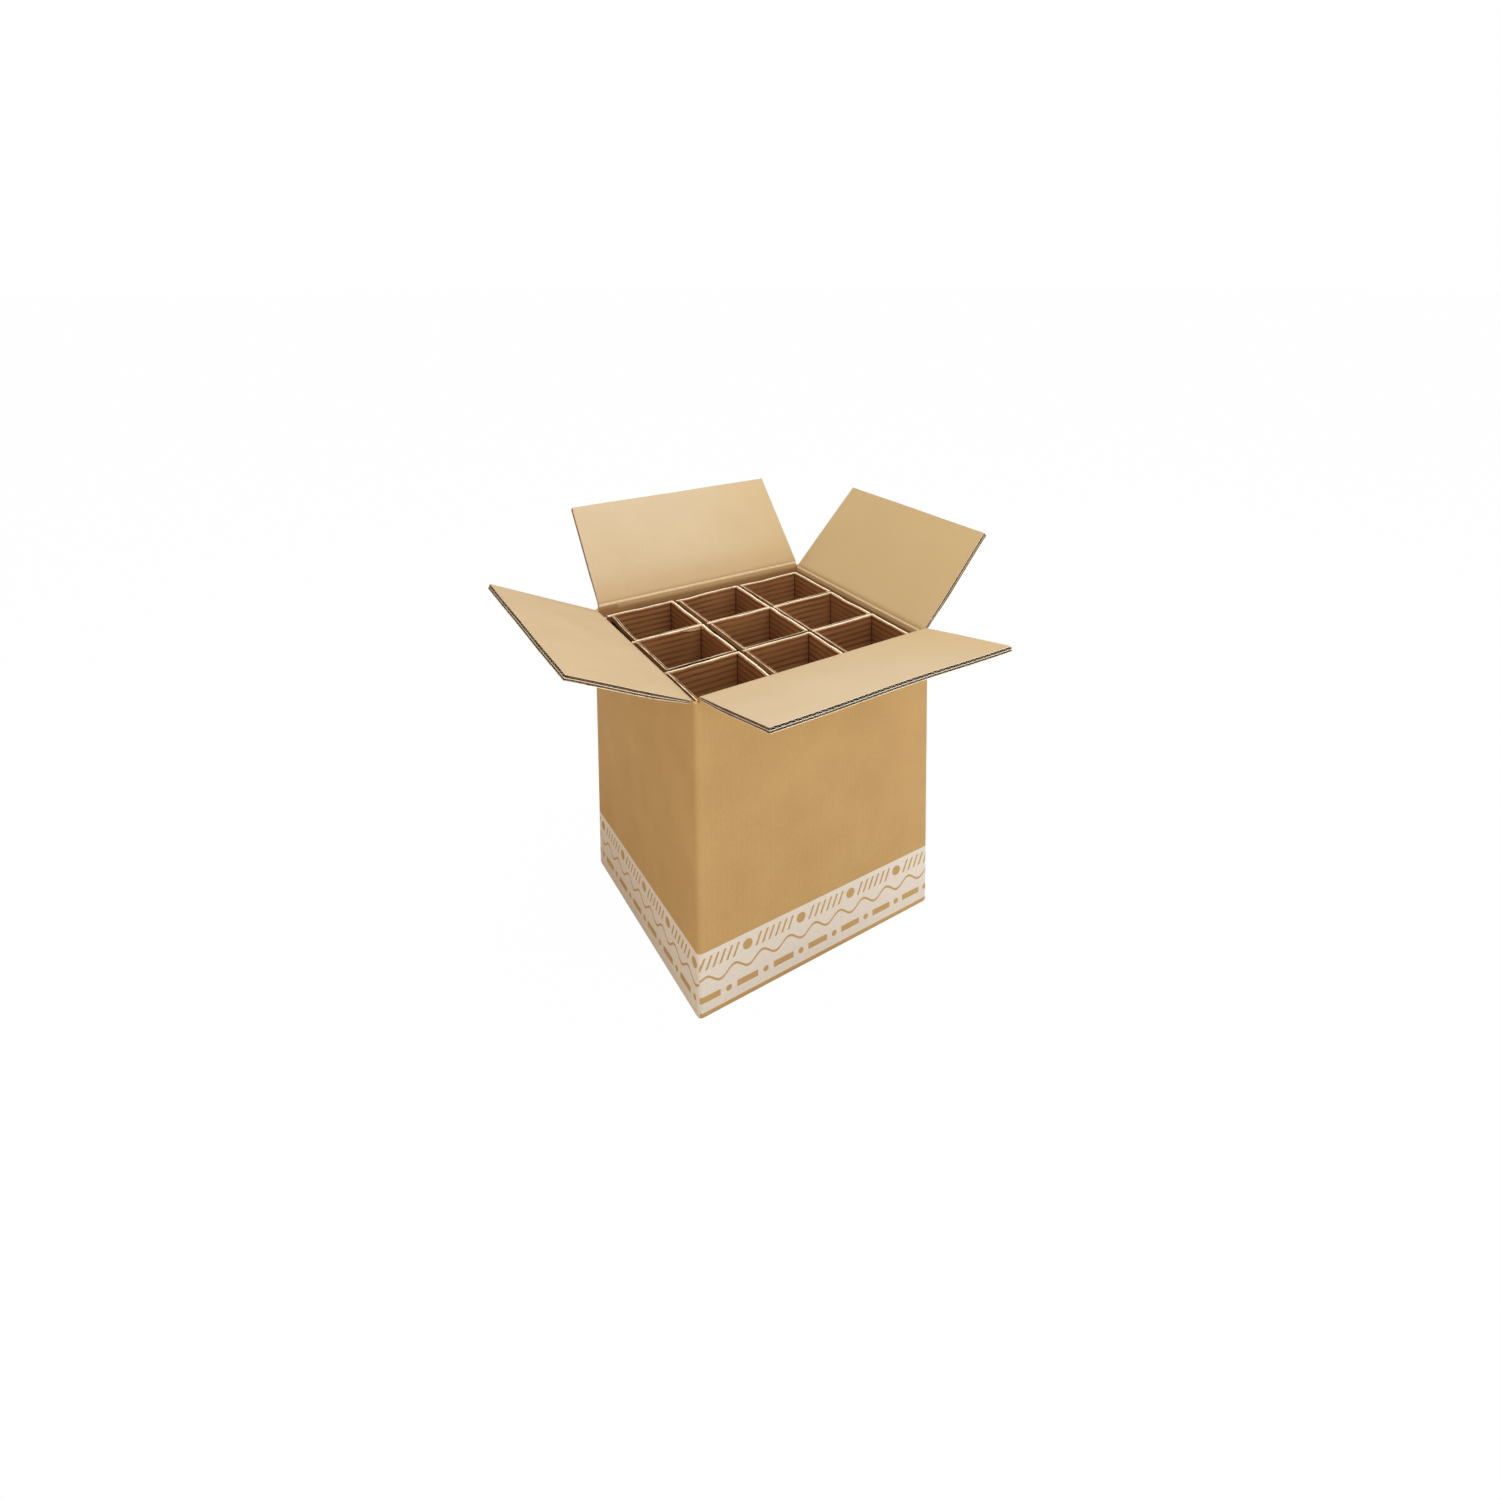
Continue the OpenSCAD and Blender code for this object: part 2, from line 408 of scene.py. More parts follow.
# Cut edges of the liners and the fluted paper, pale and a little frayed
edge_dark = (0.60, 0.430, 0.260, 1)
edge_light = (0.97, 0.840, 0.640, 1)
fray_scale, fray_cloud_scale, fray_share = 650, 38, 0.4
cut_edge, tree, shader, place = new_material("cut_edge")
fray = place.noise(fray_scale, 3)
frayed = fray * fray_share + place.noise(fray_cloud_scale, 2) * (1 - fray_share)
tree.links.new(frayed.rise(0.28, 0.46).mix(edge_dark, edge_light).socket, shader.inputs["Base Color"])
tree.links.new((fray * 0.2 + 0.7).socket, shader.inputs["Roughness"])


def paint(piece, materials, choose):
    """Gives the piece its materials, and each face the one whose number choose gives."""
    piece.data.materials.clear()
    for material in materials:
        piece.data.materials.append(material)
    for face in piece.data.polygons:
        face.material_index = choose(face)


def smooth(piece, degrees=35):
    select_only(piece)
    bpy.ops.object.shade_smooth_by_angle(angle=math.radians(degrees))


def inside_walls(face):
    reach_x = (carton_l - board_t) / 2
    reach_y = (carton_w - board_t) / 2
    return abs(face.center.x) < reach_x and abs(face.center.y) < reach_y


def wall_part(face):
    if near(face.center.z, wall_top):
        return 2
    faces_in = face.normal.x * face.center.x + face.normal.y * face.center.y < 0
    on_post = face.center.z > wall_top and faces_in
    return 1 if on_post or (inside_walls(face) and face.center.z > board_t / 2) else 0


smooth(walls)
# The walls' inner faces and the posts' inward faces take the painted shade of the inside
paint(walls, [outer_kraft, wall_inside, cut_edge], wall_part)
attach(walls, "carton")
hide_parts("carton_body")


# Glue tab
# The crushed end of the sheet, which joins the tube of walls: glued to the inside of the back wall
# at the back-left corner, with its two ends cut on a slant.

tab_w, tab_t, tab_cut, tab_r = 0.034, 0.0033, 0.0124, 0.0012
tab_x = wall_low.x + board_t
tab_y = wall_high.y - board_t
bpy.ops.object.select_all(action="DESELECT")
bpy.ops.mesh.primitive_cube_add(
    size=1,
    location=(tab_x + tab_w / 2, tab_y - tab_t / 2, (floor_h + wall_top) / 2),
    scale=(tab_w, tab_t, wall_top - floor_h),
)
tab = start_piece("glue_tab")
open_piece(tab)
pick("VERT", lambda v: v.co.x > tab_x + tab_w / 2 and v.co.z > wall_top / 2)
bpy.ops.transform.translate(value=(0, 0, -tab_cut))
pick("VERT", lambda v: v.co.x > tab_x + tab_w / 2 and v.co.z < wall_top / 2)
bpy.ops.transform.translate(value=(0, 0, tab_cut))
pick("EDGE", lambda e: all(near(v.co.y, tab_y - tab_t) for v in e.verts))
bpy.ops.mesh.bevel(offset=tab_r, segments=3, affect="EDGES")
close_piece()
smooth(tab)
# The tab takes the same painted shade as the wall's inside
paint(tab, [wall_inside, cut_edge], lambda f: 1 if abs(f.normal.z) > 0.8 else 0)
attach(tab, "carton")


# Folds of the top flaps
# Along each crease the board is crushed, and its liners run on round the bend from the wall to the
# flap. The front and back folds lie one board higher, so that those flaps close over the other two.

# Degrees from upright at which a flap stops, folded right out
fold_out = 120
# Where the crushed part ends on the flap, and the lengths of the bend's handles on each side
crush_l = 0.0081
inner_crease_l = 0.00365
inner_handle, outer_handle = 0.0008, 0.0024
bend_steps = 16
fold_rings = 24
# The flap is pressed thinner at the crease, and comes back to its full thickness further out
crease_share, thin_l = 0.62, 0.050
# A bead of pressed paper along the wall's side of the crease, and a groove above it: their heights, and
# their places and widths as shares of the bend
bead_h, groove_h = 0.0006, 0.0003
bead_at, bead_spread = 0.55, 0.13
groove_at, groove_spread = 0.82, 0.10
# Share of the bend at which the wall's painted shade ends, and where a painted highlight lies on the bead
# of two of the folds
wall_paper_end = 0.40
bead_low, bead_high = 0.44, 0.66
highlit_folds = ("back_flap", "right_flap")


def raw_paper(name, dark, light, grain_scale, detail=3, high=0.7):
    """Pressed or torn paper without a liner's smooth face: dull grains between two colours."""
    material, tree, shader, place = new_material(name)
    grain = place.noise(grain_scale, detail)
    tree.links.new(grain.rise(0.3, high).mix(dark, light).socket, shader.inputs["Base Color"])
    tree.links.new((grain * 0.2 + 0.7).socket, shader.inputs["Roughness"])
    return material


# The crushed ends of the folds, where liners and fluted paper are pressed into one layer
crushed_dark = (0.30, 0.170, 0.075, 1)
crushed_edge = raw_paper("crushed_edge", crushed_dark, kraft_light, grain_scale=420)

# The bead, painted pale as a painted highlight
bead_highlight_dark = (0.62, 0.455, 0.275, 1)
bead_highlight_light = (0.74, 0.560, 0.355, 1)
pale_bead = raw_paper("pale_bead", bead_highlight_dark, bead_highlight_light, grain_scale=260)


def bend(first, first_way, last, last_way, handle):
    """Points of a smooth bend that leaves first along first_way and comes to last along last_way."""
    second, third = first + first_way * handle, last - last_way * handle
    points = []
    for i in range(bend_steps + 1):
        t = i / bend_steps
        s = 1 - t
        points.append(first * s**3 + second * (3 * s * s * t) + third * (3 * s * t * t) + last * t**3)
    return points


def flap_axes(body):
    """Middle of the fold axis, and the ways across, inward, out along the flap and off its face."""
    joint = folds[body]
    axis = Vector(joint["pos_m"])
    inward = Vector((-axis.x, -axis.y, 0)).normalized()
    opening = math.radians(fold_out - joint["range_deg"][1])
    up = Vector((0, 0, 1))
    out = up * math.cos(opening) - inward * math.sin(opening)
    face = inward * math.cos(opening) + up * math.sin(opening)
    return axis, out.cross(face), inward, out, face


def flap_width(body):
    low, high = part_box(body)
    across = flap_axes(body)[1]
    return abs((high - low).dot(across))


def make_fold(body):
    axis, across, inward, out, face = flap_axes(body)
    up = Vector((0, 0, 1))
    half = board_t / 2
    foot = up * (wall_top - axis.z)
    inner_foot = inward * half - up * inner_crease_l
    inner = bend(inner_foot, up, out * inner_crease_l + face * half, out, inner_handle)
    off = (inward + face).normalized()
    for i in range(1, bend_steps):
        t = i / bend_steps
        bead = bead_h * math.exp(-(((t - bead_at) / bead_spread) ** 2))
        groove = groove_h * math.exp(-(((t - groove_at) / groove_spread) ** 2))
        inner[i] += off * (bead - groove)
    foot_of_bead = inner[round(wall_paper_end * bend_steps)].z
    pale_from = inner[round(bead_low * bend_steps)].dot(up + out)
    pale_to = inner[round(bead_high * bend_steps)].dot(up + out)
    pressed = face * (half - board_t * crease_share)
    outer = bend(inward * -half - up * crease_l, up, out * crease_l + pressed, out, outer_handle)
    end = out * crush_l
    outline = [inward * half + foot, *inner, end + face * half]
    outline += [end + pressed, *outer[::-1], inward * -half + foot]
    width = flap_width(body)
    bpy.ops.object.select_all(action="DESELECT")
    bpy.ops.mesh.primitive_circle_add(vertices=len(outline), fill_type="NGON")
    fold = start_piece(body.replace("_flap", "_fold"))
    for vertex, point in zip(fold.data.vertices, outline):
        vertex.co = axis + point - across * (width / 2)
    open_piece(fold)
    bpy.ops.mesh.select_all(action="SELECT")
    for _ in range(fold_rings):
        pull(*(across * (width / fold_rings)))
    bpy.ops.mesh.select_all(action="SELECT")
    bpy.ops.mesh.normals_make_consistent(inside=False)
    close_piece()
    smooth(fold, 50)

    def side(polygon):
        if abs(polygon.normal.dot(across)) > 0.9:
            return 3
        offset = polygon.center - axis
        if polygon.normal.dot(inward + face) < 0 and offset.dot(inward + face) < 0:
            return 0
        # A painted highlight on the bead of the back and right folds
        if body in highlit_folds and pale_from < offset.dot(up + out) < pale_to:
            return 4
        # Below the bead, the wall's painted shade
        return 2 if offset.z < foot_of_bead else 1

    paint(fold, [outer_kraft, inner_liner, wall_inside, crushed_edge, pale_bead], side)
    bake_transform(fold)


for body in folds:
    make_fold(body)


# Top flaps
# Double-wall board, cut square: three flat liners with two layers of fluted paper glued between
# them, the larger flutes on the inner side. The flutes run out from the fold and show on the edge.

# Two closed flaps meet in the middle of the carton's width
flap_meet_gap = 0.001
flap_l = (carton_w - board_t - flap_meet_gap) / 2
# The flaps have been handled and are pressed a little thinner than the walls, on their outer side
flap_t = 0.0061
inner_liner_t, middle_liner_t, outer_liner_t = 0.0004, 0.0006, 0.0006
large_medium_t, small_medium_t, torn_t = 0.0002, 0.00015, 0.0016
flute_space = flap_t - inner_liner_t - middle_liner_t - outer_liner_t
large_flute_share = 0.58
large_flute_h = flute_space * large_flute_share
small_flute_h = flute_space - large_flute_h
# Width of a flute's round crest, as a share of half a pitch
crest_share = 0.42
liner_columns, sheet_rows = 32, 12
# Length of the sheets' ends that is pressed to the full depth of the crease
thin_start = 0.0005
# The ragged strip that the knife leaves along the sides of a flap
torn_w, torn_rows = 0.0016, 48
large_torn_seed, small_torn_seed = 5, 8

# Fluted paper between the liners, painted near black as painted shade of the deep flutes
medium_shade_dark = (0.012, 0.006, 0.003, 1)
medium_shade_light = (0.030, 0.015, 0.007, 1)
fluted_paper = raw_paper("fluted_paper", medium_shade_dark, medium_shade_light, grain_scale=480)

# Its torn edge
ragged_dark = (0.080, 0.036, 0.014, 1)
ragged_light = (0.190, 0.095, 0.040, 1)
torn_brown = raw_paper("torn_brown", ragged_dark, ragged_light, grain_scale=300)


def finish(piece, kind, **settings):
    """Adds a modifier to the piece and applies it."""
    select_only(piece)
    modifier = piece.modifiers.new(kind.title(), kind)
    for name, value in settings.items():
        setattr(modifier, name, value)
    bpy.ops.object.modifier_apply(modifier=modifier.name)


def make_sheet(name, width, length, height, columns, rows, x=0):
    """A flat sheet from the end of the crushed part to the cut edge, at that height in the board."""
    bpy.ops.object.select_all(action="DESELECT")
    bpy.ops.mesh.primitive_grid_add(
        x_subdivisions=columns,
        y_subdivisions=rows,
        size=1,
        location=(x, (crush_l + length) / 2, height),
    )
    bpy.context.object.scale = (width, length - crush_l, 1)
    return start_piece(name)


def thicken(sheet, thickness, edge):
    # Faces inside the board take the fluted paper's painted shade
    sheet.data.materials.append(fluted_paper)
    sheet.data.materials.append(edge)
    finish(sheet, "SOLIDIFY", thickness=thickness, offset=0, material_offset_rim=1)


def make_medium(name, width, length, foot, pitch, flute_h, thickness):
    """Fluted paper: every other line of the sheet is lifted, then the crests are rounded."""
    columns = 2 * round(width / pitch)
    sheet = make_sheet(name, width, length, foot + thickness / 2, columns, sheet_rows)
    step = width / columns
    open_piece(sheet)
    pick("VERT", lambda v: round((v.co.x + width / 2) / step) % 2 == 1)
    bpy.ops.transform.translate(value=(0, 0, flute_h - thickness))
    pick(
        "EDGE",
        lambda e: near(e.verts[0].co.x, e.verts[1].co.x)
        and abs(e.verts[0].co.x) < (width - step) / 2,
    )
    bpy.ops.mesh.bevel(offset=step * crest_share, segments=3, affect="EDGES")
    close_piece()
    smooth(sheet, 60)
    thicken(sheet, thickness, cut_edge)
    return sheet


def make_torn_edge(name, width, length, foot, flute_h, side, seed):
    """Along a side of the flap the knife runs beside a flute and leaves a ragged strip of it."""
    middle = foot + flute_h / 2
    sheet = make_sheet(name, torn_w, length, middle, 1, torn_rows, side * (width - torn_w) / 2)
    open_piece(sheet)
    bpy.ops.mesh.select_all(action="SELECT")
    bpy.ops.transform.vertex_random(offset=flute_h / 2, uniform=0.0, normal=1.0, seed=seed)
    bpy.ops.mesh.vertices_smooth(factor=0.5, repeat=1, xaxis=False, yaxis=False)
    close_piece()
    thicken(sheet, torn_t, torn_brown)
    return sheet


def make_liner(name, width, length, height, thickness, above, below):
    """A flat liner, with the paper that shows above it and the one below."""
    sheet = make_sheet(name, width, length, height, liner_columns, sheet_rows)
    finish(sheet, "SOLIDIFY", thickness=thickness, offset=0)
    paint(
        sheet,
        [above, below, cut_edge],
        lambda f: 0 if f.normal.z > 0.5 else 1 if f.normal.z < -0.5 else 2,
    )
    return sheet


# How far the free corners and the middle of the cut edge spring off the flat, and what springs with them
spring_w, spring_l, spring_reach = 0.006, 0.001, 0.11
spring = {
    "front_flap": (-0.0008, 0.0006, 0.0012),
    "back_flap": (-0.0002, -0.0006, -0.0010),
    "left_flap": (0.0012, 0.0002, 0.0006),
    "right_flap": (-0.0008, 0.0012, 0.0008),
}


def make_flap(body):
    axis, across, inward, out, face = flap_axes(body)
    width = flap_width(body)
    half = board_t / 2
    inner = half - inner_liner_t / 2
    outer = half - flap_t + outer_liner_t / 2
    small_foot = outer + outer_liner_t / 2
    middle = small_foot + small_flute_h + middle_liner_t / 2
    large_foot = middle + middle_liner_t / 2
    sheets = [
        # The liners' sides that face into the flutes take the fluted paper's painted shade
        make_liner(body + "_board", width, flap_l, inner, inner_liner_t, inner_liner, fluted_paper),
        make_liner("middle_liner", width, flap_l, middle, middle_liner_t, fluted_paper, fluted_paper),
        make_liner("outer_liner", width, flap_l, outer, outer_liner_t, fluted_paper, outer_kraft),
        make_medium("large", width, flap_l, large_foot, inner_flute_pitch, large_flute_h, large_medium_t),
        make_medium("small", width, flap_l, small_foot, outer_flute_pitch, small_flute_h, small_medium_t),
    ]
    layers = (
        (large_foot, large_flute_h, large_torn_seed),
        (small_foot, small_flute_h, small_torn_seed),
    )
    for side in (-1, 1):
        for foot, flute_h, seed in layers:
            sheets.append(make_torn_edge("torn", width, flap_l, foot, flute_h, side, seed + side))
    bpy.ops.object.select_all(action="DESELECT")
    for sheet in sheets:
        sheet.select_set(True)
    flap = sheets[0]
    bpy.context.view_layer.objects.active = flap
    bpy.ops.object.join()
    open_piece(flap)
    pick("VERT", lambda v: v.co.y < crush_l + thin_start)
    bpy.ops.transform.resize(
        value=(1, 1, crease_share * board_t / flap_t),
        center_override=(0, 0, half),
        use_proportional_edit=True,
        proportional_edit_falloff="SMOOTH",
        proportional_size=thin_l,
    )
    for x, lift in zip((-width / 2, width / 2, 0), spring[body]):
        pick("VERT", lambda v: abs(v.co.x - x) < spring_w and v.co.y > flap_l - spring_l)
        bpy.ops.transform.translate(
            value=(0, 0, lift),
            use_proportional_edit=True,
            proportional_edit_falloff="SMOOTH",
            proportional_size=spring_reach,
        )
    close_piece()
    flap.matrix_world = Matrix.Translation(axis) @ Matrix((across, out, face)).transposed().to_4x4()
    bpy.ops.object.transform_apply(location=True, rotation=True, scale=True)
    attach(flap, body)
    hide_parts(body)


for body in folds:
    make_flap(body)


# Sleeves
# Nine loose square tubes of single-wall board that keep the bottles apart, each folded from one
# strip whose ends meet at the back-left corner. The flutes run round the tube and show through.

sleeve_t, sleeve_r, sleeve_seam = 0.004, 0.0025, 0.002
# The folds are not quite sharp, so the tubes stay a little apart
sleeve_ease = 0.0009
centre_low, centre_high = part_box("sleeve_centre")
sleeve_l, sleeve_w, sleeve_h = centre_high - centre_low
sleeve_w -= 2 * sleeve_ease
half_l, half_w = sleeve_l / 2, sleeve_w / 2
# The flutes show as a washboard on the inner side, with a few rows of faces to each
ripple_pitch, ripple_h, rows_a_ripple = 0.0077, 0.00045, 4
rows = rows_a_ripple * round(sleeve_h / ripple_pitch)
row_h = sleeve_h / rows
wall_steps = 8
# Width of the pressed paper in the inner corners, and how far its faces may lie in front of the walls or,
# in a groove of the washboard, behind them
crease_w = 0.0011
corner_reach, corner_depth = 0.8 * crease_w, 2 * ripple_h
# Widths of a liner's cut edge, wider where the far one is frayed, depth of the flute between the two,
# and how far the inner one slants
rim_liner_t, rim_frayed_t, rim_depth, rim_slant = 0.0011, 0.0021, 0.0012, 0.0009
# The rims are cut a little out of square, lower at the front and on the left
rim_fall_front, rim_fall_left, rim_fall_reach = 0.0008, 0.0006, 0.04

# Liners of the sleeves, browner than the carton's, with uneven dark stripes along the flutes, painted
# shade of the washboard
sleeve_dark = (0.329, 0.142, 0.055, 1)
sleeve_light = (0.485, 0.231, 0.091, 1)
stripe_shade_dark = (0.164, 0.067, 0.025, 1)
sleeve_fleck = (0.16, 0.075, 0.030, 1)
drift_scale, drift_h = 9, 0.005
faint_scale, stripe_least, stripe_most = 24, 0.35, 0.80
sleeve_roughness = 0.66
sleeve_paper, tree, shader, place = new_material("sleeve_paper")
x, y, z = place.parts()
drift = place.noise(drift_scale, 2) * drift_h
stripes = (z + drift).ripple(ripple_pitch)
colour = paper(
    tree, shader, place, stripes, sleeve_dark, sleeve_light, sleeve_fleck, sleeve_roughness
)
# How strongly the painted shade of the stripes shows, unevenly over the walls
faint = place.noise(faint_scale, 2).rise(0.3, 0.7).choose(stripe_least, stripe_most)
colour = (stripes.rise(0.35, 1.0) * faint).mix(colour, stripe_shade_dark)
# On the back wall of the middle left sleeve the liner is torn off below the rim and shows the pale paper
# under it, with a dark
# line below: the torn edge with the painted shadow of its step
torn_pale = (0.84, 0.580, 0.310, 1)
torn_shadow = (0.075, 0.030, 0.012, 1)
tear_l, tear_h, tear_shadow_h, tear_wall_t = 0.032, 0.0052, 0.0011, 0.009
# Share of its length at which the tear is deepest, and how ragged it is
tear_deepest = 0.8
tear_scale, tear_least, tear_most = 160, 0.75, 1.25
tear_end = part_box("sleeve_middle_left")[1] - Vector((sleeve_t, 0, 0))
along_tear = (x - (tear_end.x - tear_l)) * (1 / tear_l)
below_rim = tear_end.z - z
tear_arc = along_tear * (2 * tear_deepest - along_tear) * (tear_h / tear_deepest**2)
tear_low = tear_arc * place.noise(tear_scale, 2).choose(tear_least, tear_most)
on_wall = (along_tear > 0) & (along_tear < 1) & (y > tear_end.y - tear_wall_t) & (y < tear_end.y)
torn_edge_shadow = on_wall & (below_rim < tear_low + tear_shadow_h)
torn = on_wall & (below_rim < tear_low)
colour = torn.mix(torn_edge_shadow.mix(colour, torn_shadow), torn_pale)
tree.links.new(colour.socket, shader.inputs["Base Color"])

# Rims: a liner's edge is cream on the far liner, frayed there and painted as a highlight where it catches
# the light, brown in painted shade on the near liner, and rubbed pale on the left walls
tan_dark = (0.26, 0.135, 0.060, 1)
tan_light = (0.56, 0.350, 0.185, 1)
rubbed_dark = (0.50, 0.315, 0.165, 1)
rubbed_light = (0.95, 0.760, 0.530, 1)
rim_grain_scale, rim_patch_scale = 420, 45


def rim_paper(name, dark, light):
    """A liner's cut edge on a rim, in fine grains and patches of two browns."""
    material, tree, shader, place = new_material(name)
    grain = (place.noise(rim_grain_scale, 3) + place.noise(rim_patch_scale, 2)) * 0.5
    tree.links.new(grain.rise(0.36, 0.62).mix(dark, light).socket, shader.inputs["Base Color"])
    tree.links.new((grain * 0.2 + 0.7).socket, shader.inputs["Roughness"])
    return material


rim_tan = rim_paper("rim_tan", tan_dark, tan_light)
rim_rubbed = rim_paper("rim_rubbed", rubbed_dark, rubbed_light)

# Where the strip is creased the paper is pressed in, and painted near black there as painted shade of the
# inner corner
deep_shade = (0.070, 0.030, 0.012, 1)
pressed_scale = 300
crease_line = raw_paper("crease_line", deep_shade, stripe_shade_dark, pressed_scale, detail=2, high=0.8)

# Outside, the left walls are painted pale below the rim as painted light, most of all in the middle
# column, and painted dark further down between the tubes as painted shade
outside_lit_tan = (0.330, 0.185, 0.088, 1)
outside_lit_pale = (0.540, 0.310, 0.150, 1)
outside_shade_dark = (0.018, 0.007, 0.003, 1)
lit_depth, lit_fade_h, lit_ragged_h = 0.0056, 0.0024, 0.0008
lit_high = centre_high.z - lit_depth
rubbed_side, tree, shader, place = new_material("rubbed_side")
x, y, z = place.parts()
grain = place.noise(pressed_scale, 2)
lit_band = (z + grain * lit_ragged_h).rise(lit_high - lit_fade_h, lit_high)
in_middle = abs(x - centre_low.x) < sleeve_l / 2
colour = lit_band.mix(outside_shade_dark, in_middle.mix(outside_lit_tan, outside_lit_pale))
tree.links.new(colour.socket, shader.inputs["Base Color"])
tree.links.new((grain * 0.2 + 0.7).socket, shader.inputs["Roughness"])

# The front walls are painted dark up to the rim, as painted shade between the rows of tubes
dark_side = raw_paper("dark_side", outside_shade_dark, deep_shade, pressed_scale, detail=2, high=0.8)

# What the faces of a sleeve show. An open flute has a name of its own, also where its paper is used twice
sleeve_papers = {
    "liner": sleeve_paper,
    "crease": crease_line,
    "left_side": rubbed_side,
    "front_side": dark_side,
    "frayed_edge": cut_edge,
    "brown_edge": rim_tan,
    "left_edge": rim_rubbed,
    # The open flutes of the front and left rims are painted dark, as painted shade in their grooves
    "front_flute": fluted_paper,
    "far_flute": rim_tan,
    "left_flute": crease_line,
}
sleeve_faces = list(sleeve_papers)


def depth_in(point):
    """Depth of a point of the pattern sleeve below its outer faces."""
    return min(half_l - abs(point.x), half_w - abs(point.y))


def in_corner(point):
    """True on the narrow faces of the inner corners of the pattern sleeve."""
    from_x = half_l - sleeve_t - abs(point.x)
    from_y = half_w - sleeve_t - abs(point.y)
    return -corner_depth < min(from_x, from_y) and max(from_x, from_y) < corner_reach


def at_seam(point):
    return point.x < 0 < point.y


def on_outer_corner(point):
    return near(abs(point.x), half_l) and near(abs(point.y), half_w) and not at_seam(point)


def is_rim(normal, middle):
    """True for a level face at the top or bottom of the pattern sleeve."""
    return abs(normal.z) > 0.9 and not row_h / 2 < middle.z < sleeve_h - row_h / 2


# The pattern sleeve stands on the origin: an upright line, pulled round the four sides of the tube
bpy.ops.object.select_all(action="DESELECT")
bpy.ops.mesh.primitive_plane_add(size=1)
sleeve = start_piece("sleeve_pattern")
open_piece(sleeve)
pick("VERT", lambda v: v.index > 1)
bpy.ops.mesh.delete(type="VERT")
close_piece()
for vertex, height in zip(sleeve.data.vertices, (0, sleeve_h)):
    vertex.co = (-half_l, half_w, height)
open_piece(sleeve)
bpy.ops.mesh.select_all(action="SELECT")
bpy.ops.mesh.subdivide(number_cuts=rows - 1)
bpy.ops.mesh.select_mode(type="EDGE")
bpy.ops.mesh.select_all(action="SELECT")
last_l = sleeve_w - sleeve_t - sleeve_seam
for step in ((sleeve_l, 0), (0, -sleeve_w), (-sleeve_l, 0), (0, last_l)):
    for _ in range(wall_steps):
        pull(step[0] / wall_steps, step[1] / wall_steps, 0)
bpy.ops.mesh.select_all(action="SELECT")
bpy.ops.mesh.normals_make_consistent(inside=False)
close_piece()
outward = sum(f.normal.dot(Vector((f.center.x, f.center.y, 0))) for f in sleeve.data.polygons)
finish(sleeve, "SOLIDIFY", thickness=sleeve_t, offset=-1 if outward > 0 else 1, use_even_offset=True)

# Washboard of the flutes on the inner side, flat at both ends
open_piece(sleeve)
for phase, share in ((1, 0.5), (2, 1.0), (3, 0.5)):
    pick(
        "VERT",
        lambda v: depth_in(v.co) > sleeve_t / 2
        and row_h * 1.5 < v.co.z < sleeve_h - row_h * 1.5
        and round(v.co.z / row_h) % rows_a_ripple == phase,
    )
    grow = 1 + ripple_h * share / (half_l - sleeve_t)
    bpy.ops.transform.resize(value=(grow, grow, 1), center_override=(0, 0, 0))

# Rounded outer corners and pressed inner ones
pick("EDGE", lambda e: all(on_outer_corner(v.co) for v in e.verts))
bpy.ops.mesh.bevel(offset=sleeve_r, segments=3, affect="EDGES")
pick(
    "EDGE",
    lambda e: abs(e.verts[0].co.z - e.verts[1].co.z) > row_h / 4
    and all(in_corner(v.co) and not at_seam(v.co) for v in e.verts),
)
bpy.ops.mesh.bevel(offset=crease_w, segments=2, affect="EDGES", profile=0.15)

# Rims: an edge of each liner, an open flute between them, and the inner edge on a slant. At the seam the
# left wall's rim runs on to the corner
left_inside = -half_l + sleeve_t
pick("FACE", lambda f: is_rim(f.normal, f.calc_center_median()))
bpy.ops.mesh.bisect(plane_co=(left_inside, 0, 0), plane_no=(1, 0, 0))
pick("FACE", lambda f: is_rim(f.normal, f.calc_center_median()))
bpy.ops.mesh.inset(thickness=rim_liner_t)
flute_faces = {f.index for f in bmesh.from_edit_mesh(sleeve.data).faces if f.select}
widen = rim_liner_t - rim_frayed_t
pick("VERT", lambda v: near(v.co.z, sleeve_h) and near(half_w - v.co.y, rim_liner_t))
bpy.ops.transform.translate(value=(0, widen, 0))
pick("VERT", lambda v: near(v.co.z, sleeve_h) and near(half_l - v.co.x, rim_liner_t))
bpy.ops.transform.translate(value=(widen, 0, 0))
pick("VERT", lambda v: near(v.co.z, sleeve_h) and near(half_w + v.co.y, sleeve_t - rim_liner_t))
bpy.ops.transform.translate(value=(0, widen, 0))
close_piece()


def sleeve_part(face):
    place = face.center
    if not is_rim(face.normal, place):
        if near(place.x, -half_l):
            return "left_side"
        if near(place.y, -half_w):
            return "front_side"
        return "crease" if in_corner(place) else "liner"
    depths = {
        "back": half_w - place.y,
        "right": half_l - place.x,
        "front": half_w + place.y,
        "left": half_l + place.x,
    }
    wall = "left" if place.x < left_inside else min(depths, key=depths.get)
    far = wall in ("back", "right")
    if face.index in flute_faces:
        return "far_flute" if far else wall + "_flute"
    if wall == "left":
        return "left_edge"
    outer = depths[wall] < sleeve_t / 2
    # Far liners take the frayed edge with its painted highlight, near ones the brown edge in painted
    # shade
    return "frayed_edge" if outer == far else "brown_edge"


def is_flute(face):
    return sleeve_faces[face.material_index].endswith("flute")


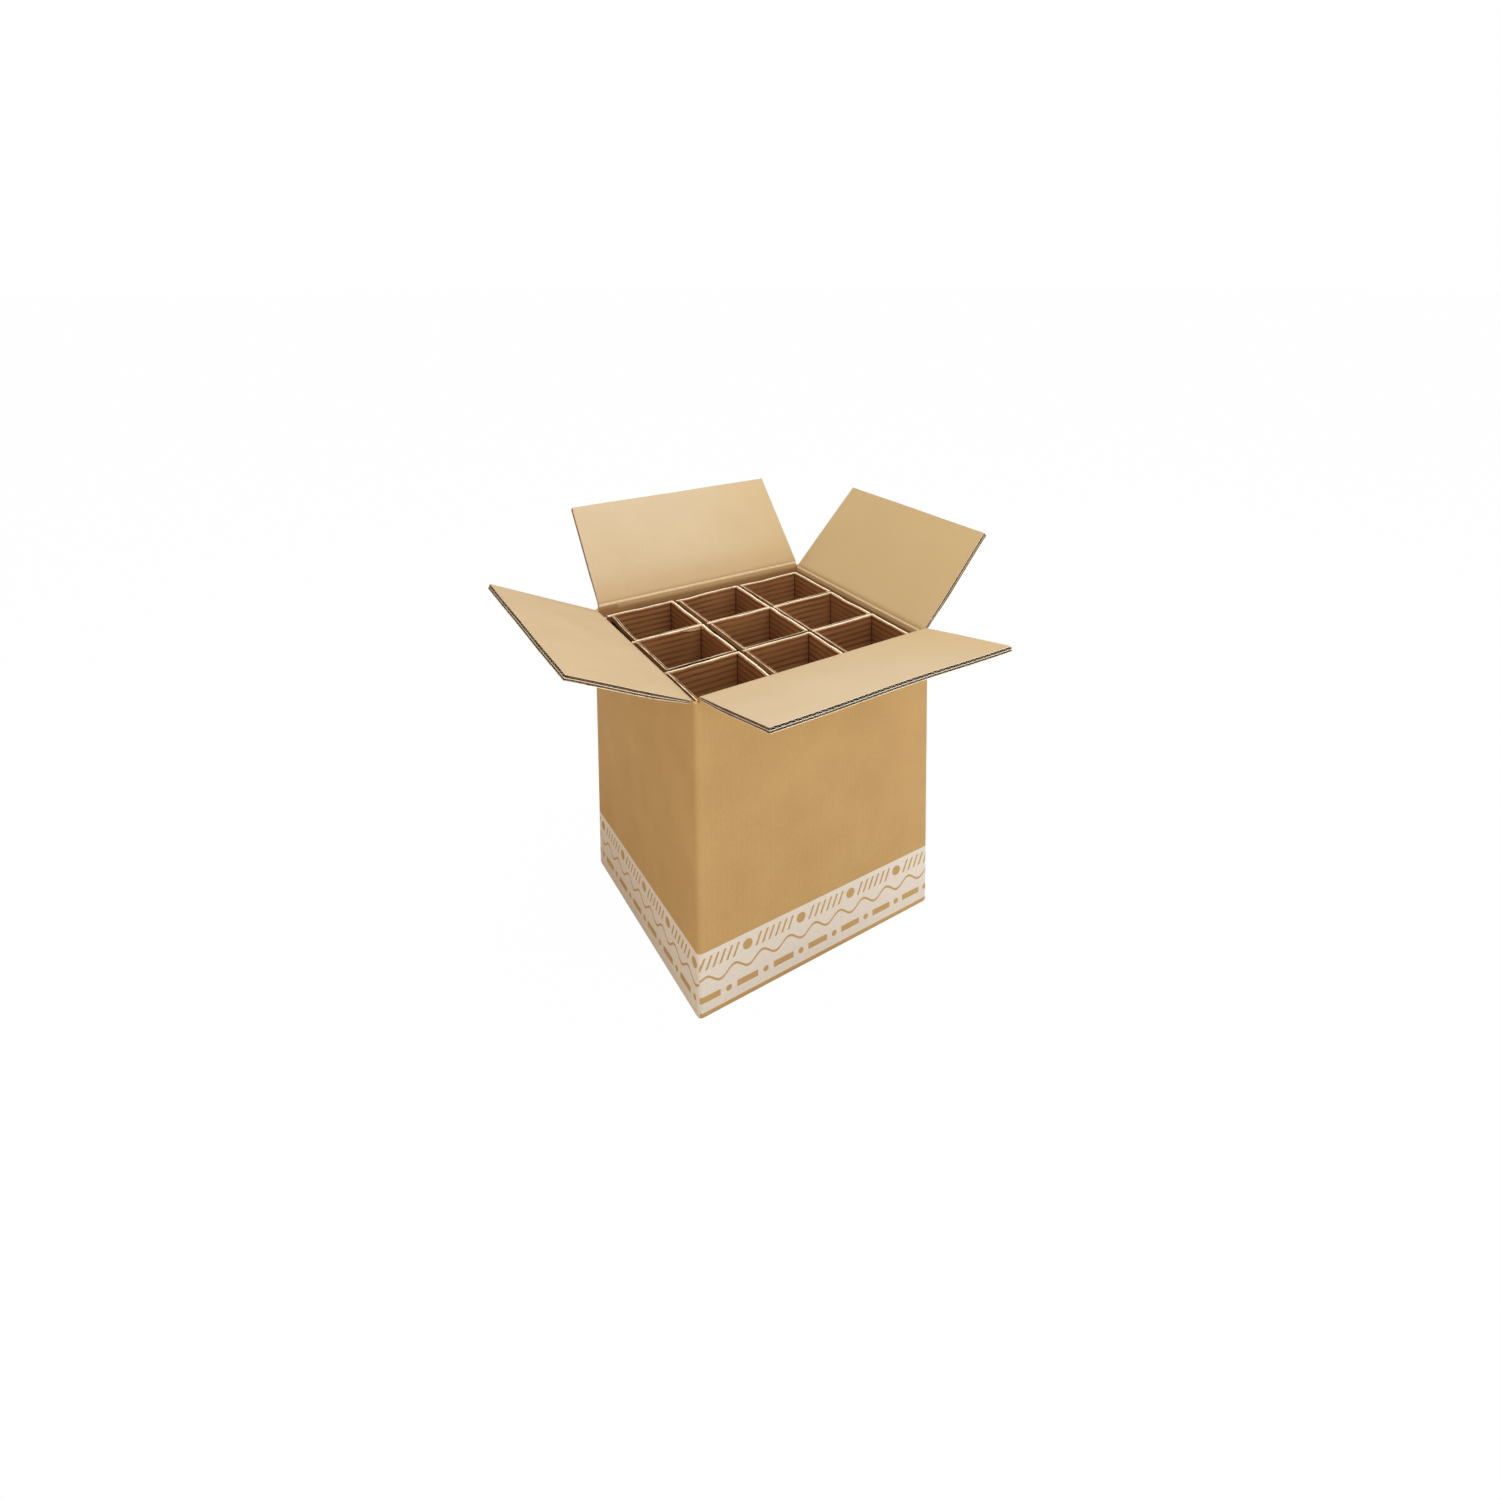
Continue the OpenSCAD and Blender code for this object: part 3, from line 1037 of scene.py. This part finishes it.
paint(sleeve, sleeve_papers.values(), lambda f: sleeve_faces.index(sleeve_part(f)))
open_piece(sleeve)
for end, way in ((sleeve_h, -1), (0, 1)):
    pick("FACE", lambda f: is_flute(f) and near(f.calc_center_median().z, end))
    pull(0, 0, way * rim_depth)
pick("VERT", lambda v: near(v.co.z, sleeve_h) and depth_in(v.co) > sleeve_t - rim_liner_t / 2)
bpy.ops.transform.translate(value=(0, 0, -rim_slant))
for axis, angle, pivot in (
    ("X", -rim_fall_front / sleeve_w, (0, half_w, sleeve_h)),
    ("Y", rim_fall_left / sleeve_l, (half_l, 0, sleeve_h)),
):
    pick("VERT", lambda v: v.co.z > sleeve_h - row_h * 1.2)
    bpy.ops.transform.rotate(
        value=angle,
        orient_axis=axis,
        center_override=pivot,
        use_proportional_edit=True,
        proportional_edit_falloff="SMOOTH",
        proportional_size=rim_fall_reach,
    )
close_piece()
smooth(sleeve, 40)


def push(test, step, reach):
    """Moves what passes the test, and the paper round it softly with it."""
    pick("VERT", test)
    bpy.ops.transform.translate(
        value=step,
        use_proportional_edit=True,
        use_proportional_connected=True,
        proportional_edit_falloff="SMOOTH",
        proportional_size=reach,
    )


# Nine copies, each set down by hand: a little off its place, its left wall leaning in, its rim dented
chance = random.Random(7)
loose_l, loose_low, loose_high, loose_turn = 0.0010, -0.0003, 0.0005, 0.3
# Paper at the top of the left wall that leans in, and how far down the wall the lean reaches
lean_h, lean_w, lean_reach = 0.005, 0.006, 0.10
lean_least, lean_most = 0.0005, 0.0020
lean_in = {
    "sleeve_back_left": 0.0056,
    "sleeve_middle_left": 0.0050,
    "sleeve_front_left": 0.0024,
    "sleeve_back_middle": 0.0034,
    "sleeve_centre": 0.0034,
    "sleeve_front_middle": 0.0026,
}
set_back = {
    "sleeve_middle_left": 0.0006,
    "sleeve_front_left": -0.0006,
    "sleeve_centre": 0.0005,
    "sleeve_front_middle": -0.0006,
}
# The open corner of the back left sleeve is bent in as well
seam_lean, seam_l, seam_reach = 0.0030, 0.007, 0.05
# Dents in the rims of the right and back walls, which also sink by a third of their depth
dents, dent_span = 3, 0.6
dent_least, dent_most = 0.0003, 0.0013
dent_r, dent_h, dent_reach = 0.012, 0.004, 0.018
rim_rough = 0.0003
for name in frame["record"]["behaviour"]["bodies"]["carton"]:
    if not name.startswith("sleeve"):
        continue
    low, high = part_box(name)
    middle = (low + high) / 2
    select_only(sleeve)
    bpy.ops.object.duplicate(linked=False)
    tube = bpy.context.object
    tube.name = tube.data.name = name + "_board"
    tube.location = (
        middle.x + chance.uniform(-loose_l, loose_l),
        middle.y + set_back.get(name, 0),
        low.z + chance.uniform(loose_low, loose_high),
    )
    tube.rotation_euler.z = math.radians(chance.uniform(-loose_turn, loose_turn))
    bpy.ops.object.transform_apply(location=True, rotation=True, scale=True)
    open_piece(tube)
    lean = lean_in.get(name, chance.uniform(lean_least, lean_most))
    push(
        lambda v: v.co.z > high.z - lean_h
        and v.co.x < low.x + lean_w
        and v.co.y < middle.y + half_w / 2,
        (lean, 0, 0),
        lean_reach,
    )
    if name == "sleeve_back_left":
        push(
            lambda v: v.co.z > high.z - lean_h
            and v.co.x < low.x + lean_w
            and v.co.y > high.y - seam_l,
            (seam_lean, 0, 0),
            seam_reach,
        )
    for dent in range(dents):
        along = chance.uniform(-dent_span, dent_span)
        deep = chance.uniform(dent_least, dent_most)
        if dent % 2:
            spot = Vector((high.x - sleeve_t, middle.y + along * half_w, high.z))
            way = (-1, 0)
        else:
            spot = Vector((middle.x + along * half_l, high.y - sleeve_t, high.z))
            way = (0, -1)
        push(
            lambda v: (v.co - spot).length < dent_r and v.co.z > high.z - dent_h,
            (way[0] * deep, way[1] * deep, -deep / 3),
            dent_reach,
        )
    pick("VERT", lambda v: v.co.z > high.z - dent_h)
    seed = chance.randint(1, 999)
    bpy.ops.transform.vertex_random(offset=rim_rough, uniform=0.0, normal=0.0, seed=seed)
    close_piece()
    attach(tube, "carton")
    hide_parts(name)
bpy.data.objects.remove(sleeve)


# Studio
# A pale floor, soft light from the front, from above and all round, and the photograph's camera:
# a wide view with its lines of height kept upright.

floor_l = 80
floor_grey = (0.86, 0.86, 0.86, 1)
# How white the camera sees the floor: the rest is left for the shadow
floor_white = 0.99
bpy.ops.object.select_all(action="DESELECT")
bpy.ops.mesh.primitive_plane_add(size=floor_l)
floor = start_piece("floor")
floor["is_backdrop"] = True
floor_material, tree, shader, place = new_material("pale_floor")
shader.inputs["Base Color"].default_value = floor_grey
shader.inputs["Roughness"].default_value = 0.9
seen = Ink(tree).node("LightPath", output="Is Camera Ray")
white = tree.nodes.new("ShaderNodeEmission")
blend = tree.nodes.new("ShaderNodeMixShader")
tree.links.new((seen * floor_white).socket, blend.inputs[0])
tree.links.new(shader.outputs[0], blend.inputs[1])
tree.links.new(white.outputs[0], blend.inputs[2])
tree.links.new(blend.outputs[0], tree.nodes["Material Output"].inputs["Surface"])
floor.data.materials.append(floor_material)

world = bpy.data.worlds.new("studio")
bpy.context.scene.world = world
world.use_nodes = True
tree = world.node_tree
sky = tree.nodes["Background"]
room_warm, room_power = (1.0, 0.84, 0.68, 1), 0.48
backdrop_white, backdrop_power = (1, 1, 1, 1), 1.0
shown = Ink(tree).node("LightPath", output="Is Camera Ray")
tree.links.new(shown.mix(room_warm, backdrop_white).socket, sky.inputs["Color"])
tree.links.new(shown.choose(room_power, backdrop_power).socket, sky.inputs["Strength"])


def soft_light(name, place, aim, size, power, tint):
    bpy.ops.object.light_add(type="AREA", location=place)
    lamp = bpy.context.object
    lamp.name = name
    lamp.data.color = tint
    lamp.data.size = size
    lamp.data.energy = power
    lamp.rotation_euler = (Vector(aim) - Vector(place)).to_track_quat("-Z", "Y").to_euler()


soft_light(
    "front_light",
    place=(0.7, -2.2, 0.55),
    aim=(0, -0.1, 0.2),
    size=1.2,
    power=15.5,
    tint=(0.90, 0.96, 1.0),
)
soft_light(
    "top_light",
    place=(0.1, -0.4, 2.4),
    aim=(0, 0, 0.3),
    size=1.6,
    power=43,
    tint=(0.94, 0.99, 1.0),
)
soft_light(
    "left_light",
    place=(-2.2, -0.3, 0.55),
    aim=(-0.1, 0, 0.2),
    size=1.2,
    power=4.8,
    tint=(1.0, 0.75, 0.48),
)

# Place of the camera, its turn to the right and its tilt down in degrees, and its lens in millimetres
camera_place = (-0.5506, -0.9816, 0.8302)
camera_turn, camera_tilt = 34.38, 4.93
lens, sensor_w = 20.92, 36
shift_x, shift_y = -0.0542, -0.2704
camera_angles = (math.radians(90 - camera_tilt), 0, math.radians(-camera_turn))
bpy.ops.object.camera_add(location=camera_place, rotation=camera_angles)
camera = bpy.context.object
camera.data.lens = lens
camera.data.sensor_width = sensor_w
camera.data.shift_x = shift_x
camera.data.shift_y = shift_y
bpy.context.scene.camera = camera
bpy.context.scene.view_settings.view_transform = "Standard"


# Sizes of the shown pieces, without the floor

low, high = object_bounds()
